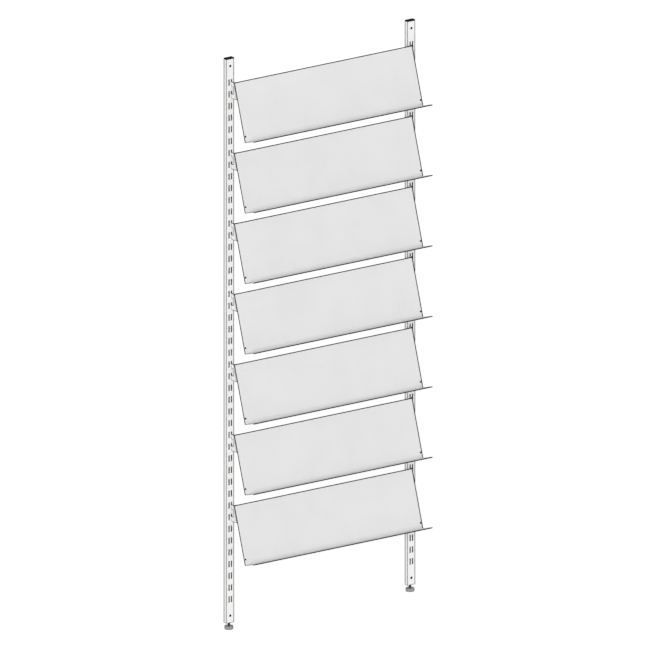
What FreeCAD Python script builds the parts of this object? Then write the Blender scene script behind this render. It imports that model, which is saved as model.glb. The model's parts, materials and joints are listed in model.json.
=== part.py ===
"""Periodical display rack: two slotted uprights, and seven sloping shelves that hook onto them.

Frame: millimetres, +Z up from the floor, the front towards -Y. X = 0 lies midway between the
uprights, and Y = 0 midway between the front edge of the lips and the back of the foot discs.
"""
import FreeCAD, Part
import math
import os
import Sketcher

PARTS_FOLDER = "parts"
SHELF_COUNT = 7
SIDES = (("left", -1), ("right", 1))
X_DIRECTION = FreeCAD.Vector(1, 0, 0)
UP = FreeCAD.Vector(0, 0, 1)
QUARTER_TURN = math.pi / 2

ON_LINE = 1e-4  # how far from a line an edge's ends may lie and still be on it

# The sketcher's own numbers for its origin point and for the points of a line or circle.
ORIGIN_POINT = -1
START, END, CENTRE = range(1, 4)

# Driving dimensions: alias, value in millimetres (degrees for angles), what it measures.
SIZES = (
    ("upright_length", 2400, "length of an upright's tube"),
    ("upright_spacing", 900, "from centre to centre of the uprights"),
    ("tube_width", 40, "tube, across the front"),
    ("tube_depth", 20, "tube, front to back"),
    ("tube_wall", 1.5, "tube's wall"),
    ("tube_inner_radius", 0.5, "inner radius of the tube's corners"),
    ("slot_height", 25, "slot in the front face, end to end"),
    ("slot_width", 4, "slot, across"),
    ("slot_pitch", 50, "from one pair of slots to the next"),
    ("slot_column_gap", 12, "between the centre lines of the two rows of slots"),
    ("slot_end_distance", 100, "from the tube's top to the middle of the first slot"),
    ("wall_hole_diameter", 8, "hole for a wall screw, through both walls"),
    ("wall_hole_end_distance", 30, "from a tube end to the middle of that hole"),
    ("cap_head_height", 4, "end cap's head, on top of the tube"),
    ("cap_edge_radius", 1, "rounding round the top of the head"),
    ("cap_plug_depth", 18, "end cap's plug, inside the tube"),
    ("cap_plug_wall", 2, "wall of that plug"),
    ("cap_plug_clearance", 0.1, "between the plug and the tube"),
    ("insert_height", 24, "insert in the bottom of the tube"),
    ("insert_corner_radius", 2, "corners of the insert, clear of the tube's"),
    ("nut_width", 14, "long nut held in the insert, across flats"),
    ("nut_height", 16, "long nut, along the stud"),
    ("stud_diameter", 10, "stud of the levelling foot"),
    ("stud_length", 43, "stud, end to end"),
    ("stud_exposed", 14, "stud seen between the tube and the foot disc"),
    ("stud_embedded", 9, "stud held inside the foot disc"),
    ("stud_chamfer", 1, "chamfer at both ends of the stud"),
    ("stud_bore_clearance", 0.5, "round the stud above its nut"),
    ("groove_offset", 3, "from the stud's lower end to its snap groove"),
    ("groove_height", 2, "snap groove, along the stud"),
    ("groove_depth", 0.8, "snap groove, into the stud"),
    ("groove_clearance", 0.1, "above and below the disc's snap rib"),
    ("running_clearance", 0.05, "round a turning or sliding stud"),
    ("disc_diameter", 36, "foot disc"),
    ("disc_height", 14.5, "foot disc, floor to top"),
    ("disc_edge", 1.5, "chamfer round the foot disc"),
    ("disc_flutes", 14, "finger flutes round the foot disc"),
    ("flute_diameter", 6, "cutter that makes a flute"),
    ("flute_depth", 1.8, "flute, into the rim"),
    ("disc_rest_turn", 3.6, "degrees the foot disc stands turned"),
    ("shelf_pitch_slots", 6, "pairs of slots from one shelf to the next"),
    ("panel_length", 250, "shelf's back plate, down its slope"),
    ("panel_tilt", 18, "degrees the back plate leans from upright"),
    ("panel_stand_off", 15.6, "from the tube to the top of the back plate"),
    ("lip_depth", 70, "lip, square to the back plate"),
    ("sheet_thickness", 1.5, "shelf's sheet"),
    ("bend_radius", 1.5, "inside radius of the bend"),
    ("hem_depth", 10, "open hem folded under the lip's front edge"),
    ("hem_gap", 1.5, "space inside the hem"),
    ("hem_nose_flat", 0.3, "flat left down the middle of the hem's round nose"),
    ("accessory_hole_diameter", 4, "hole near each lower corner of the back plate"),
    ("accessory_hole_side", 8, "from that hole to the plate's side edge"),
    ("accessory_hole_rise", 25, "from that hole to the bottom of the bend"),
    ("plug_head_diameter", 6, "head of the plug in that hole"),
    ("plug_head_height", 1.2, "head, proud of the plate"),
    ("plug_head_bevel", 0.6, "bevel round the head"),
    ("plug_barb_diameter", 4.8, "barb behind the plate"),
    ("plug_tail_length", 3.5, "tail behind the plate"),
    ("plug_tail_diameter", 3, "thin end of the tail"),
    ("plug_clearance", 0.05, "between the plug's neck and its hole"),
    ("bracket_thickness", 2, "hook bracket's plate"),
    ("bracket_bend_radius", 1.5, "inside radius of the bracket's bend"),
    ("flange_width", 17, "bracket's flange behind the back plate, with the bend"),
    ("neck_height", 14.5, "hook's neck, above the edge of the slot it rests on"),
    ("finger_width", 4, "hook's finger, front to back"),
    ("finger_drop", 6.5, "finger's reach below the edge of the slot"),
    ("finger_lead", 1.5, "bevel on the finger's tip"),
    ("hook_back_bevel", 3, "bevel on the hook's upper back corner"),
    ("hook_wall_gap", 0.3, "between the finger and the tube's wall"),
    ("shoulder_drop", 5.3, "bracket's shoulder below the edge of the slot"),
    ("notch_depth", 15.5, "notch between the two hooks, front to back"),
    ("notch_radius", 5, "inner corners of that notch"),
)

# Sizes that follow from the driving dimensions.
TUBE_INNER_WIDTH = "(Sizes.tube_width - 2 * Sizes.tube_wall)"
TUBE_INNER_DEPTH = "(Sizes.tube_depth - 2 * Sizes.tube_wall)"
TUBE_OUTER_RADIUS = "(Sizes.tube_inner_radius + Sizes.tube_wall)"
FOOT_DROP = "(Sizes.stud_exposed + Sizes.disc_height)"
SLOT_STEPS = "floor((Sizes.upright_length - 2 * Sizes.slot_end_distance) / Sizes.slot_pitch + 0.001)"
UPRIGHT_X = "(Sizes.upright_spacing / 2)"
BRACKET_X = "((Sizes.upright_spacing - Sizes.slot_column_gap) / 2)"
PANEL_WIDTH = "(Sizes.upright_spacing - Sizes.slot_column_gap - Sizes.bracket_thickness)"
HEM_INSIDE_RADIUS = "((Sizes.hem_gap - Sizes.hem_nose_flat) / 2)"
HEM_RADIUS = f"({HEM_INSIDE_RADIUS} + Sizes.sheet_thickness)"
HEM_DROP = "(Sizes.hem_gap + Sizes.sheet_thickness)"
FRONT_REACH = (
    f"(Sizes.panel_stand_off + {HEM_RADIUS} + (Sizes.lip_depth - {HEM_RADIUS}) * cos(Sizes.panel_tilt)"
    f" + (Sizes.panel_length + {HEM_DROP} - {HEM_RADIUS}) * sin(Sizes.panel_tilt))"
)
BACK_REACH = "(Sizes.tube_depth / 2 + max(Sizes.tube_depth; Sizes.disc_diameter) / 2)"
TUBE_FRONT_Y = f"(({FRONT_REACH} - {BACK_REACH}) / 2)"
TUBE_CENTRE_Y = f"({TUBE_FRONT_Y} + Sizes.tube_depth / 2)"
FIRST_SEAT_Z = f"({FOOT_DROP} + Sizes.upright_length - Sizes.slot_end_distance - Sizes.slot_height / 2)"
STUD_FOOT_Z = "(Sizes.disc_height - Sizes.stud_embedded)"


def make_sheet(doc):
    """Write the driving dimensions to the document's sheet: words, value and meaning in a row."""
    sheet = doc.addObject("Spreadsheet::Sheet", "Sizes")
    for row, (alias, value, meaning) in enumerate(SIZES, start=1):
        sheet.set(f"A{row}", alias.replace("_", " "))
        sheet.set(f"B{row}", str(value))
        sheet.setAlias(f"B{row}", alias)
        sheet.set(f"C{row}", meaning)
    doc.recompute()
    return sheet


def number(item, text):
    """Value of an expression over the sheet, read through any object of the document."""
    return float(item.evalExpression(text))


def place(item, x="0", y="0", z="0", turn_axis=None, turn="0"):
    """Bind an object's placement to expressions."""
    if turn_axis is not None:
        start = FreeCAD.Rotation(turn_axis, number(item, turn))
        item.Placement = FreeCAD.Placement(FreeCAD.Vector(), start)
        item.setExpression(".Placement.Rotation.Angle", turn)
    for letter, text in zip("xyz", (x, y, z)):
        item.setExpression(f".Placement.Base.{letter}", text)


# ---------------------------------------------------------------- sketches and features

def make_body(doc, label):
    """An empty body with its own label, which names its node."""
    body = doc.addObject("PartDesign::Body", label)
    body.Label = label
    return body


def make_sketch(body, role, name):
    """A sketch on one of the body's own origin planes."""
    sketch = body.newObject("Sketcher::SketchObject", name)
    plane = next(item for item in body.Origin.OriginFeatures if item.Role == role)
    sketch.AttachmentSupport = [(plane, "")]
    sketch.MapMode = "FlatFace"
    return sketch


def bind(sketch, kind, members, text):
    """Add a dimension to the sketch and bind it to an expression."""
    index = sketch.addConstraint(Sketcher.Constraint(kind, *members, number(sketch, text)))
    sketch.setExpression(f"Constraints[{index}]", text)


def draw_outline(sketch, corners):
    """A closed outline of straight lines, each corner given as two expressions."""
    points = [FreeCAD.Vector(number(sketch, x), number(sketch, y), 0) for x, y in corners]
    count = len(points)
    first = sketch.GeometryCount
    for index, point in enumerate(points):
        sketch.addGeometry(Part.LineSegment(point, points[(index + 1) % count]), False)
    for index in range(count):
        following = first + (index + 1) % count
        sketch.addConstraint(Sketcher.Constraint("Coincident", first + index, END, following, START))
    for index, (x, y) in enumerate(corners):
        bind(sketch, "DistanceX", (ORIGIN_POINT, START, first + index, START), x)
        bind(sketch, "DistanceY", (ORIGIN_POINT, START, first + index, START), y)


def draw_rectangle(sketch, left, right, bottom, top):
    """A plain rectangle between four expressions."""
    draw_outline(sketch, [(left, bottom), (right, bottom), (right, top), (left, top)])


def draw_rounded_rectangle(sketch, width, height, radius):
    """A rectangle about the origin with rounded corners, sizes given as expressions."""
    half_x = number(sketch, width) / 2
    half_y = number(sketch, height) / 2
    corner = number(sketch, radius)
    flat_x = half_x - corner
    flat_y = half_y - corner
    first = sketch.GeometryCount
    ends = (
        ((-flat_x, -half_y), (flat_x, -half_y)),
        ((half_x, -flat_y), (half_x, flat_y)),
        ((flat_x, half_y), (-flat_x, half_y)),
        ((-half_x, flat_y), (-half_x, -flat_y)),
    )
    for start, end in ends:
        sketch.addGeometry(Part.LineSegment(FreeCAD.Vector(*start, 0), FreeCAD.Vector(*end, 0)), False)
    centres = ((flat_x, -flat_y), (flat_x, flat_y), (-flat_x, flat_y), (-flat_x, -flat_y))
    for index, centre in enumerate(centres):
        circle = Part.Circle(FreeCAD.Vector(*centre, 0), UP, corner)
        arc = Part.ArcOfCircle(circle, (index - 1) * QUARTER_TURN, index * QUARTER_TURN)
        sketch.addGeometry(arc, False)
    for index in range(4):
        line = first + index
        arc = first + 4 + index
        next_line = first + (index + 1) % 4
        sketch.addConstraint(Sketcher.Constraint("Tangent", line, END, arc, START))
        sketch.addConstraint(Sketcher.Constraint("Tangent", arc, END, next_line, START))
        sketch.addConstraint(Sketcher.Constraint(("Horizontal", "Vertical")[index % 2], line))
    for index in range(1, 4):
        sketch.addConstraint(Sketcher.Constraint("Equal", first + 4, first + 4 + index))
    bind(sketch, "Radius", (first + 4,), radius)
    bind(sketch, "DistanceY", (ORIGIN_POINT, START, first, START), f"-{height} / 2")
    bind(sketch, "DistanceX", (ORIGIN_POINT, START, first + 1, START), f"{width} / 2")
    bind(sketch, "DistanceY", (ORIGIN_POINT, START, first + 2, START), f"{height} / 2")
    bind(sketch, "DistanceX", (ORIGIN_POINT, START, first + 3, START), f"-{width} / 2")


def draw_circle(sketch, x, y, diameter):
    """A circle, its centre and diameter given as expressions."""
    centre = FreeCAD.Vector(number(sketch, x), number(sketch, y), 0)
    radius = number(sketch, diameter) / 2
    index = sketch.addGeometry(Part.Circle(centre, UP, radius), False)
    bind(sketch, "Diameter", (index,), diameter)
    bind(sketch, "DistanceX", (ORIGIN_POINT, START, index, CENTRE), x)
    bind(sketch, "DistanceY", (ORIGIN_POINT, START, index, CENTRE), y)


def add_pad(body, sketch, length, name, symmetric=False, backwards=False):
    """Pad a sketch by an expression."""
    pad = body.newObject("PartDesign::Pad", name)
    pad.Profile = sketch
    pad.setExpression("Length", length)
    pad.Reversed = backwards
    if symmetric:
        pad.SideType = "Symmetric"
    body.Document.recompute()
    return pad


def check_cut(body, before, feature):
    """Stop if a cutting feature has taken nothing away."""
    if feature.Shape.Volume >= before - 1e-6:
        raise RuntimeError(f"{feature.Name} of {body.Label} cuts nothing")


def add_pocket(body, sketch, name, length=None, backwards=False):
    """Cut a sketch out of the body: by a length to one side, or with none right through."""
    before = body.Tip.Shape.Volume
    pocket = body.newObject("PartDesign::Pocket", name)
    pocket.Profile = sketch
    if length is None:
        pocket.Type = "ThroughAll"
        pocket.SideType = "Symmetric"
    else:
        pocket.setExpression("Length", length)
        pocket.Reversed = backwards
    body.Document.recompute()
    check_cut(body, before, pocket)
    return pocket


def add_row(body, feature, direction, spacing, occurrences, name, backwards=False):
    """Repeat a feature in a straight row."""
    row = body.newObject("PartDesign::LinearPattern", name)
    row.Originals = [feature]
    row.Direction = direction
    row.Mode = "Spacing"
    row.Reversed = backwards
    row.setExpression("Offset", spacing)
    row.setExpression("Occurrences", occurrences)
    body.Tip = row
    body.Document.recompute()
    return row


def add_revolution(body, sketch, axis, name):
    """Turn a profile once round one of its sketch's axes."""
    turned = body.newObject("PartDesign::Revolution", name)
    turned.Profile = sketch
    turned.ReferenceAxis = (sketch, [axis])
    turned.Angle = 360
    body.Document.recompute()
    return turned


def edges_on_line(feature, point, direction):
    """Names of the feature's straight edges that lie on the line through a point."""
    names = []
    unit = FreeCAD.Vector(direction).normalize()
    for index, edge in enumerate(feature.Shape.Edges, start=1):
        offsets = [vertex.Point.sub(point).cross(unit).Length for vertex in edge.Vertexes]
        if edge.Curve.TypeId == "Part::GeomLine" and max(offsets) < ON_LINE:
            names.append(f"Edge{index}")
    return names


def add_fillet(body, feature, lines, radius, name):
    """Round the edges that lie on the given lines, each a point and a direction."""
    names = []
    for point, direction in lines:
        found = edges_on_line(feature, point, direction)
        if not found:
            raise RuntimeError(f"{name} of {body.Label} finds no edge at {point}")
        names += found
    fillet = body.newObject("PartDesign::Fillet", name)
    fillet.Base = (feature, names)
    fillet.setExpression("Radius", radius)
    body.Document.recompute()
    return fillet


# ---------------------------------------------------------------- uprights, caps and feet

def make_upright(doc, side, sign):
    """A slotted tube, its slots counted from the top, with a wall screw's hole near each end."""
    body = make_body(doc, f"{side}_upright")
    section = make_sketch(body, "XY_Plane", f"{side}_tube_section")
    draw_rounded_rectangle(section, "Sizes.tube_width", "Sizes.tube_depth", TUBE_OUTER_RADIUS)
    draw_rounded_rectangle(section, TUBE_INNER_WIDTH, TUBE_INNER_DEPTH, "Sizes.tube_inner_radius")
    add_pad(body, section, "Sizes.upright_length", f"{side}_tube")

    slots = make_sketch(body, "XZ_Plane", f"{side}_first_slots")
    middle = "(Sizes.upright_length - Sizes.slot_end_distance)"
    for column in (-1, 1):
        centre = f"{column} * Sizes.slot_column_gap / 2"
        draw_rectangle(
            slots,
            f"{centre} - Sizes.slot_width / 2",
            f"{centre} + Sizes.slot_width / 2",
            f"{middle} - Sizes.slot_height / 2",
            f"{middle} + Sizes.slot_height / 2",
        )
    first_pair = add_pocket(body, slots, f"{side}_slot_pair", "Sizes.tube_depth", backwards=True)
    add_row(
        body, first_pair, (slots, ["V_Axis"]), "Sizes.slot_pitch", f"{SLOT_STEPS} + 1",
        f"{side}_slot_ladder", backwards=True,
    )

    holes = make_sketch(body, "XZ_Plane", f"{side}_wall_hole_centres")
    for height in (
        "Sizes.wall_hole_end_distance",
        "Sizes.upright_length - Sizes.wall_hole_end_distance",
    ):
        draw_circle(holes, "0", height, "Sizes.wall_hole_diameter")
    add_pocket(body, holes, f"{side}_wall_holes")
    place(body, f"{sign} * {UPRIGHT_X}", TUBE_CENTRE_Y, FOOT_DROP)
    return body


def make_top_cap(doc, side, sign):
    """A head that covers the tube's end, over a hollow plug that goes inside it."""
    body = make_body(doc, f"{side}_top_cap")
    outline = make_sketch(body, "XY_Plane", f"{side}_cap_outline")
    draw_rounded_rectangle(outline, "Sizes.tube_width", "Sizes.tube_depth", TUBE_OUTER_RADIUS)
    head = add_pad(body, outline, "Sizes.cap_head_height", f"{side}_cap_head")

    top = max(range(len(head.Shape.Faces)), key=lambda index: head.Shape.Faces[index].CenterOfMass.z)
    rounding = body.newObject("PartDesign::Fillet", f"{side}_cap_rounding")
    rounding.Base = (head, [f"Face{top + 1}"])
    rounding.setExpression("Radius", "Sizes.cap_edge_radius")
    doc.recompute()

    plug = make_sketch(body, "XY_Plane", f"{side}_cap_plug_section")
    width = f"({TUBE_INNER_WIDTH} - 2 * Sizes.cap_plug_clearance)"
    depth = f"({TUBE_INNER_DEPTH} - 2 * Sizes.cap_plug_clearance)"
    draw_rounded_rectangle(plug, width, depth, "Sizes.insert_corner_radius")
    draw_rectangle(
        plug,
        f"-{width} / 2 + Sizes.cap_plug_wall",
        f"{width} / 2 - Sizes.cap_plug_wall",
        f"-{depth} / 2 + Sizes.cap_plug_wall",
        f"{depth} / 2 - Sizes.cap_plug_wall",
    )
    add_pad(body, plug, "Sizes.cap_plug_depth", f"{side}_cap_plug", backwards=True)
    place(body, f"{sign} * {UPRIGHT_X}", TUBE_CENTRE_Y, f"{FOOT_DROP} + Sizes.upright_length")
    return body


def hexagon(width):
    """Corners of a hexagon about the origin, two of its flats facing the front and the back."""
    angles = [index * 360 / 6 for index in range(6)]
    return [
        (f"{width} / sqrt(3) * cos({angle})", f"{width} / sqrt(3) * sin({angle})") for angle in angles
    ]


def make_foot_insert(doc, side, sign):
    """A block that fills the tube's end, with a hexagonal seat for the nut and a bore above it."""
    body = make_body(doc, f"{side}_foot_insert")
    outline = make_sketch(body, "XY_Plane", f"{side}_insert_outline")
    draw_rounded_rectangle(outline, TUBE_INNER_WIDTH, TUBE_INNER_DEPTH, "Sizes.insert_corner_radius")
    add_pad(body, outline, "Sizes.insert_height", f"{side}_insert_block")

    seat = make_sketch(body, "XY_Plane", f"{side}_nut_seat_outline")
    draw_outline(seat, hexagon("Sizes.nut_width"))
    add_pocket(body, seat, f"{side}_nut_seat", "Sizes.nut_height", backwards=True)

    bore = make_sketch(body, "XY_Plane", f"{side}_insert_bore_outline")
    draw_circle(bore, "0", "0", "Sizes.stud_diameter + 2 * Sizes.stud_bore_clearance")
    add_pocket(body, bore, f"{side}_insert_bore")
    place(body, f"{sign} * {UPRIGHT_X}", TUBE_CENTRE_Y, FOOT_DROP)
    return body


def make_foot_nut(doc, side, sign):
    """The long hexagonal nut that the levelling stud turns in."""
    blank = doc.addObject("Part::Prism", f"{side}_nut_blank")
    blank.Polygon = 6
    blank.setExpression("Circumradius", "Sizes.nut_width / sqrt(3)")
    blank.setExpression("Height", "Sizes.nut_height")
    bore = doc.addObject("Part::Cylinder", f"{side}_nut_bore")
    bore.setExpression("Radius", "Sizes.stud_diameter / 2 + Sizes.running_clearance")
    bore.setExpression("Height", "Sizes.nut_height")
    nut = doc.addObject("Part::Cut", f"{side}_foot_nut")
    nut.Base = blank
    nut.Tool = bore
    nut.Label = f"{side}_foot_nut"
    place(nut, f"{sign} * {UPRIGHT_X}", TUBE_CENTRE_Y, FOOT_DROP)
    return nut


def snap_groove_levels():
    """Lower and upper ends of the stud's snap groove, above the floor."""
    low = f"({STUD_FOOT_Z} + Sizes.groove_offset)"
    high = f"({low} + Sizes.groove_height)"
    return low, high


def make_foot_stud(doc, side, sign):
    """The levelling stud, with a groove that the foot disc snaps into."""
    body = make_body(doc, f"{side}_foot_stud")
    profile = make_sketch(body, "XZ_Plane", f"{side}_stud_profile")
    radius = "Sizes.stud_diameter / 2"
    top = f"({STUD_FOOT_Z} + Sizes.stud_length)"
    groove_low, groove_high = snap_groove_levels()
    draw_outline(profile, [
        ("0", STUD_FOOT_Z),
        (f"{radius} - Sizes.stud_chamfer", STUD_FOOT_Z),
        (radius, f"{STUD_FOOT_Z} + Sizes.stud_chamfer"),
        (radius, groove_low),
        (f"{radius} - Sizes.groove_depth", groove_low),
        (f"{radius} - Sizes.groove_depth", groove_high),
        (radius, groove_high),
        (radius, f"{top} - Sizes.stud_chamfer"),
        (f"{radius} - Sizes.stud_chamfer", top),
        ("0", top),
    ])
    add_revolution(body, profile, "V_Axis", f"{side}_stud_turned")
    place(body, f"{sign} * {UPRIGHT_X}", TUBE_CENTRE_Y, "0")
    return body


def make_foot_disc(doc, side, sign):
    """The fluted foot disc, turned by hand, snapped onto the stud's lower end."""
    body = make_body(doc, f"{side}_foot_disc")
    profile = make_sketch(body, "XZ_Plane", f"{side}_disc_profile")
    rim = "Sizes.disc_diameter / 2"
    bore = "(Sizes.stud_diameter / 2 + Sizes.running_clearance)"
    groove_low, groove_high = snap_groove_levels()
    rib_low = f"{groove_low} + Sizes.groove_clearance"
    rib_high = f"{groove_high} - Sizes.groove_clearance"
    draw_outline(profile, [
        ("0", "0"),
        (f"{rim} - Sizes.disc_edge", "0"),
        (rim, "Sizes.disc_edge"),
        (rim, "Sizes.disc_height - Sizes.disc_edge"),
        (f"{rim} - Sizes.disc_edge", "Sizes.disc_height"),
        (bore, "Sizes.disc_height"),
        (bore, rib_high),
        (f"{bore} - Sizes.groove_depth", rib_high),
        (f"{bore} - Sizes.groove_depth", rib_low),
        (bore, rib_low),
        (bore, STUD_FOOT_Z),
        ("0", STUD_FOOT_Z),
    ])
    add_revolution(body, profile, "V_Axis", f"{side}_disc_turned")

    cutter = make_sketch(body, "XY_Plane", f"{side}_flute_outline")
    draw_circle(cutter, f"{rim} + Sizes.flute_diameter / 2 - Sizes.flute_depth", "0", "Sizes.flute_diameter")
    flute = add_pocket(body, cutter, f"{side}_flute")
    ring = body.newObject("PartDesign::PolarPattern", f"{side}_flutes")
    ring.Originals = [flute]
    ring.Axis = (cutter, ["N_Axis"])
    ring.Angle = 360
    ring.setExpression("Occurrences", "Sizes.disc_flutes")
    body.Tip = ring
    doc.recompute()
    place(
        body, f"{sign} * {UPRIGHT_X}", TUBE_CENTRE_Y, "0",
        turn_axis=UP, turn="Sizes.disc_rest_turn",
    )
    return body


# ---------------------------------------------------------------- shelves

def seat_height(shelf):
    """Height of the slot edge that a shelf's upper hooks rest on, shelf 0 at the top."""
    return f"({FIRST_SEAT_Z} - {shelf} * Sizes.shelf_pitch_slots * Sizes.slot_pitch)"


def make_panel(doc, shelf):
    """One bent sheet, its lip hemmed, drawn with its back plate upright and then leant back."""
    name = f"shelf_{shelf + 1}"
    body = make_body(doc, f"{name}_panel")
    section = make_sketch(body, "YZ_Plane", f"{name}_panel_section")
    foot = "-Sizes.panel_length"
    inner_foot = "-Sizes.panel_length + Sizes.sheet_thickness"
    hem_roof = "-Sizes.panel_length - Sizes.hem_gap"
    hem_foot = f"-Sizes.panel_length - {HEM_DROP}"
    hem_back = "Sizes.hem_depth - Sizes.lip_depth"
    nose_inside = "Sizes.sheet_thickness - Sizes.lip_depth"
    draw_outline(section, [
        ("0", "0"),
        ("0", foot),
        (nose_inside, foot),
        (nose_inside, hem_roof),
        (hem_back, hem_roof),
        (hem_back, hem_foot),
        ("-Sizes.lip_depth", hem_foot),
        ("-Sizes.lip_depth", inner_foot),
        ("-Sizes.sheet_thickness", inner_foot),
        ("-Sizes.sheet_thickness", "0"),
    ])
    sheet = add_pad(body, section, PANEL_WIDTH, f"{name}_panel_sheet", symmetric=True)

    thickness = number(doc.Sizes, "Sizes.sheet_thickness")
    length = number(doc.Sizes, "Sizes.panel_length")
    lip = number(doc.Sizes, "Sizes.lip_depth")
    gap = number(doc.Sizes, "Sizes.hem_gap")
    outer_corner = (FreeCAD.Vector(0, 0, -length), X_DIRECTION)
    inner_corner = (FreeCAD.Vector(0, -thickness, thickness - length), X_DIRECTION)
    outside = "Sizes.bend_radius + Sizes.sheet_thickness"
    bent = add_fillet(body, sheet, [outer_corner], outside, f"{name}_bend_outside")
    bent = add_fillet(body, bent, [inner_corner], "Sizes.bend_radius", f"{name}_bend_inside")
    heights = (thickness - length, -length - gap - thickness)
    outer_nose = [(FreeCAD.Vector(0, -lip, height), X_DIRECTION) for height in heights]
    heights = (-length, -length - gap)
    inner_nose = [(FreeCAD.Vector(0, thickness - lip, height), X_DIRECTION) for height in heights]
    hemmed = add_fillet(body, bent, outer_nose, HEM_RADIUS, f"{name}_hem_outside")
    add_fillet(body, hemmed, inner_nose, HEM_INSIDE_RADIUS, f"{name}_hem_inside")

    holes = make_sketch(body, "XZ_Plane", f"{name}_accessory_hole_centres")
    for _, sign in SIDES:
        draw_circle(
            holes,
            f"{sign} * ({PANEL_WIDTH} / 2 - Sizes.accessory_hole_side)",
            "Sizes.accessory_hole_rise - Sizes.panel_length",
            "Sizes.accessory_hole_diameter",
        )
    add_pocket(body, holes, f"{name}_accessory_holes")
    place(
        body,
        y=f"{TUBE_FRONT_Y} - Sizes.panel_stand_off",
        z=f"{seat_height(shelf)} + Sizes.neck_height",
        turn_axis=X_DIRECTION,
        turn="-Sizes.panel_tilt",
    )
    return body


def bracket_outline():
    """Corners of the hook plate, seen from the right: forward is negative, the seat is zero."""
    wall_side = "(Sizes.tube_wall + Sizes.hook_wall_gap)"
    back = f"({wall_side} + Sizes.finger_width)"
    bottom = "(Sizes.slot_pitch + Sizes.shoulder_drop)"
    slope_run = f"((Sizes.neck_height + {bottom}) * tan(Sizes.panel_tilt))"

    def hook_below_neck(level):
        """Neck's underside and the finger, from the tube's face round to the finger's back."""
        tip = f"{level} - Sizes.finger_drop"
        return [
            ("0", level),
            (wall_side, level),
            (wall_side, f"{tip} + Sizes.finger_lead"),
            (f"{wall_side} + Sizes.finger_lead", tip),
            (back, tip),
            (back, f"{level} + Sizes.neck_height - Sizes.hook_back_bevel"),
            (f"{back} - Sizes.hook_back_bevel", f"{level} + Sizes.neck_height"),
        ]

    notch = "-Sizes.notch_depth"
    return (
        [
            ("-Sizes.panel_stand_off", "Sizes.neck_height"),
            (f"-(Sizes.panel_stand_off + {slope_run})", f"-{bottom}"),
            ("0", f"-{bottom}"),
        ]
        + hook_below_neck("-Sizes.slot_pitch")
        + [
            (notch, "-Sizes.slot_pitch + Sizes.neck_height"),
            (notch, "-Sizes.shoulder_drop"),
            ("0", "-Sizes.shoulder_drop"),
        ]
        + hook_below_neck("0")
    )


def make_bracket(doc, shelf, side, sign):
    """A bent bracket: a plate with two hooks, and a flange welded behind the back plate."""
    name = f"shelf_{shelf + 1}_{side}"
    body = make_body(doc, f"{name}_bracket")
    outline = make_sketch(body, "YZ_Plane", f"{name}_hook_outline")
    corners = bracket_outline()
    draw_outline(outline, corners)
    add_pad(body, outline, "Sizes.bracket_thickness", f"{name}_hook_plate", symmetric=True)

    flange = make_sketch(body, "YZ_Plane", f"{name}_flange_section")
    (top_y, top_z), (low_y, low_z) = corners[0], corners[1]
    step = "Sizes.bracket_thickness / cos(Sizes.panel_tilt)"
    draw_outline(flange, [
        (top_y, top_z),
        (low_y, low_z),
        (f"{low_y} + {step}", low_z),
        (f"{top_y} + {step}", top_z),
    ])
    reach = "Sizes.flange_width - Sizes.bracket_thickness / 2"
    bent = add_pad(body, flange, reach, f"{name}_flange", backwards=sign > 0)

    top = FreeCAD.Vector(0, number(doc.Sizes, top_y), number(doc.Sizes, top_z))
    low = FreeCAD.Vector(0, number(doc.Sizes, low_y), number(doc.Sizes, low_z))
    slope = low.sub(top)
    half_plate = number(doc.Sizes, "Sizes.bracket_thickness") / 2
    outer_line = (top.add(FreeCAD.Vector(sign * half_plate, 0, 0)), slope)
    inner_line = (top.add(FreeCAD.Vector(-sign * half_plate, number(doc.Sizes, step), 0)), slope)
    outside = "Sizes.bracket_bend_radius + Sizes.bracket_thickness"
    bent = add_fillet(body, bent, [outer_line], outside, f"{name}_bend_outside")
    bent = add_fillet(body, bent, [inner_line], "Sizes.bracket_bend_radius", f"{name}_bend_inside")

    notch_corners = [
        (FreeCAD.Vector(0, number(doc.Sizes, y), number(doc.Sizes, z)), X_DIRECTION)
        for y, z in corners
        if y == "-Sizes.notch_depth"
    ]
    add_fillet(body, bent, notch_corners, "Sizes.notch_radius", f"{name}_notch_rounding")
    place(body, f"{sign} * {BRACKET_X}", TUBE_FRONT_Y, seat_height(shelf))
    return body


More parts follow.
